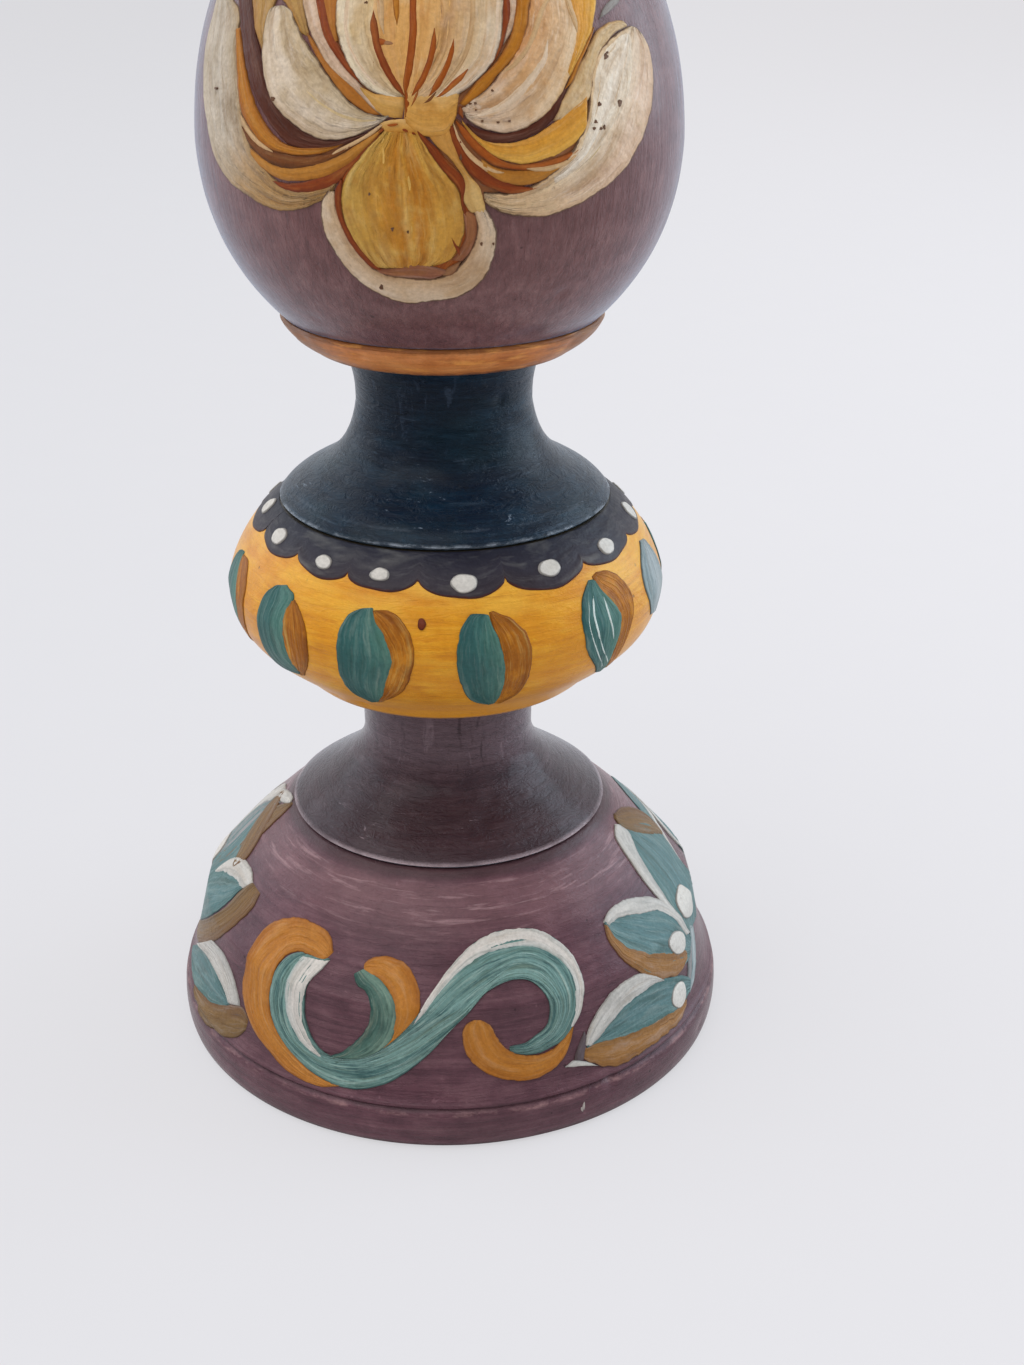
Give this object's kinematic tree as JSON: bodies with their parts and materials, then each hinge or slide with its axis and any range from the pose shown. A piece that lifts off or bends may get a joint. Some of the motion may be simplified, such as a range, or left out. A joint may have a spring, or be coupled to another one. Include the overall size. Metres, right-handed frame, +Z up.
{
  "type": "maraca",
  "caption": "Turned wooden rattle: an egg-shaped hollow head with loose dried peas on a bulbous handle that stands on its own bell foot.",
  "frame": {"origin": "centre of the foot's flat underside, on the turning axis", "axes": "+Z up the handle to the crown of the head; -Y towards the viewer of the painted front"},
  "size_m": [0.0906, 0.0906, 0.1836],
  "materials": {
    "plum_paint": "satin brushed paint on turned wood",
    "navy_paint": "glossy brushed paint on turned wood",
    "ochre_paint": "satin brushed paint on turned wood",
    "copper_paint": "worn satin paint on turned wood",
    "bare_wood": "bare sanded wood",
    "dried_pea": "dull dried seed"
  },
  "bodies": {
    "maraca_body": {"foot": "plum_paint", "lower_collar": "plum_paint", "ring": "ochre_paint", "upper_collar": "navy_paint", "head_band": "copper_paint", "head_lower_shell": "plum_paint", "head_upper_shell": "plum_paint", "handle_dowel": "bare_wood"},
    "pellet_01_body": {"pellet_01": "dried_pea"},
    "pellet_02_body": {"pellet_02": "dried_pea"},
    "pellet_03_body": {"pellet_03": "dried_pea"},
    "pellet_04_body": {"pellet_04": "dried_pea"},
    "pellet_05_body": {"pellet_05": "dried_pea"},
    "pellet_06_body": {"pellet_06": "dried_pea"},
    "pellet_07_body": {"pellet_07": "dried_pea"},
    "pellet_08_body": {"pellet_08": "dried_pea"},
    "pellet_09_body": {"pellet_09": "dried_pea"},
    "pellet_10_body": {"pellet_10": "dried_pea"},
    "pellet_11_body": {"pellet_11": "dried_pea"},
    "pellet_12_body": {"pellet_12": "dried_pea"},
    "pellet_13_body": {"pellet_13": "dried_pea"},
    "pellet_14_body": {"pellet_14": "dried_pea"},
    "pellet_15_body": {"pellet_15": "dried_pea"},
    "pellet_16_body": {"pellet_16": "dried_pea"},
    "pellet_17_body": {"pellet_17": "dried_pea"},
    "pellet_18_body": {"pellet_18": "dried_pea"},
    "pellet_19_body": {"pellet_19": "dried_pea"},
    "pellet_20_body": {"pellet_20": "dried_pea"},
    "pellet_21_body": {"pellet_21": "dried_pea"},
    "pellet_22_body": {"pellet_22": "dried_pea"},
    "pellet_23_body": {"pellet_23": "dried_pea"},
    "pellet_24_body": {"pellet_24": "dried_pea"}
  },
  "joints": [
    {"name": "pellet_01_jump", "type": "slide", "parent": "maraca_body", "child": "pellet_01_body", "axis": [0, 0, 1], "range_m": [0, 0.0475]},
    {"name": "pellet_02_jump", "type": "slide", "parent": "maraca_body", "child": "pellet_02_body", "axis": [0, 0, 1], "range_m": [0, 0.0475]},
    {"name": "pellet_03_jump", "type": "slide", "parent": "maraca_body", "child": "pellet_03_body", "axis": [0, 0, 1], "range_m": [0, 0.0475]},
    {"name": "pellet_04_jump", "type": "slide", "parent": "maraca_body", "child": "pellet_04_body", "axis": [0, 0, 1], "range_m": [0, 0.0475]},
    {"name": "pellet_05_jump", "type": "slide", "parent": "maraca_body", "child": "pellet_05_body", "axis": [0, 0, 1], "range_m": [0, 0.045]},
    {"name": "pellet_06_jump", "type": "slide", "parent": "maraca_body", "child": "pellet_06_body", "axis": [0, 0, 1], "range_m": [0, 0.045]},
    {"name": "pellet_07_jump", "type": "slide", "parent": "maraca_body", "child": "pellet_07_body", "axis": [0, 0, 1], "range_m": [0, 0.045]},
    {"name": "pellet_08_jump", "type": "slide", "parent": "maraca_body", "child": "pellet_08_body", "axis": [0, 0, 1], "range_m": [0, 0.045]},
    {"name": "pellet_09_jump", "type": "slide", "parent": "maraca_body", "child": "pellet_09_body", "axis": [0, 0, 1], "range_m": [0, 0.045]},
    {"name": "pellet_10_jump", "type": "slide", "parent": "maraca_body", "child": "pellet_10_body", "axis": [0, 0, 1], "range_m": [0, 0.045]},
    {"name": "pellet_11_jump", "type": "slide", "parent": "maraca_body", "child": "pellet_11_body", "axis": [0, 0, 1], "range_m": [0, 0.045]},
    {"name": "pellet_12_jump", "type": "slide", "parent": "maraca_body", "child": "pellet_12_body", "axis": [0, 0, 1], "range_m": [0, 0.045]},
    {"name": "pellet_13_jump", "type": "slide", "parent": "maraca_body", "child": "pellet_13_body", "axis": [0, 0, 1], "range_m": [0, 0.039]},
    {"name": "pellet_14_jump", "type": "slide", "parent": "maraca_body", "child": "pellet_14_body", "axis": [0, 0, 1], "range_m": [0, 0.039]},
    {"name": "pellet_15_jump", "type": "slide", "parent": "maraca_body", "child": "pellet_15_body", "axis": [0, 0, 1], "range_m": [0, 0.039]},
    {"name": "pellet_16_jump", "type": "slide", "parent": "maraca_body", "child": "pellet_16_body", "axis": [0, 0, 1], "range_m": [0, 0.039]},
    {"name": "pellet_17_jump", "type": "slide", "parent": "maraca_body", "child": "pellet_17_body", "axis": [0, 0, 1], "range_m": [0, 0.039]},
    {"name": "pellet_18_jump", "type": "slide", "parent": "maraca_body", "child": "pellet_18_body", "axis": [0, 0, 1], "range_m": [0, 0.039]},
    {"name": "pellet_19_jump", "type": "slide", "parent": "maraca_body", "child": "pellet_19_body", "axis": [0, 0, 1], "range_m": [0, 0.039]},
    {"name": "pellet_20_jump", "type": "slide", "parent": "maraca_body", "child": "pellet_20_body", "axis": [0, 0, 1], "range_m": [0, 0.039]},
    {"name": "pellet_21_jump", "type": "slide", "parent": "maraca_body", "child": "pellet_21_body", "axis": [0, 0, 1], "range_m": [0, 0.039]},
    {"name": "pellet_22_jump", "type": "slide", "parent": "maraca_body", "child": "pellet_22_body", "axis": [0, 0, 1], "range_m": [0, 0.039]},
    {"name": "pellet_23_jump", "type": "slide", "parent": "maraca_body", "child": "pellet_23_body", "axis": [0, 0, 1], "range_m": [0, 0.039]},
    {"name": "pellet_24_jump", "type": "slide", "parent": "maraca_body", "child": "pellet_24_body", "axis": [0, 0, 1], "range_m": [0, 0.039]}
  ]
}
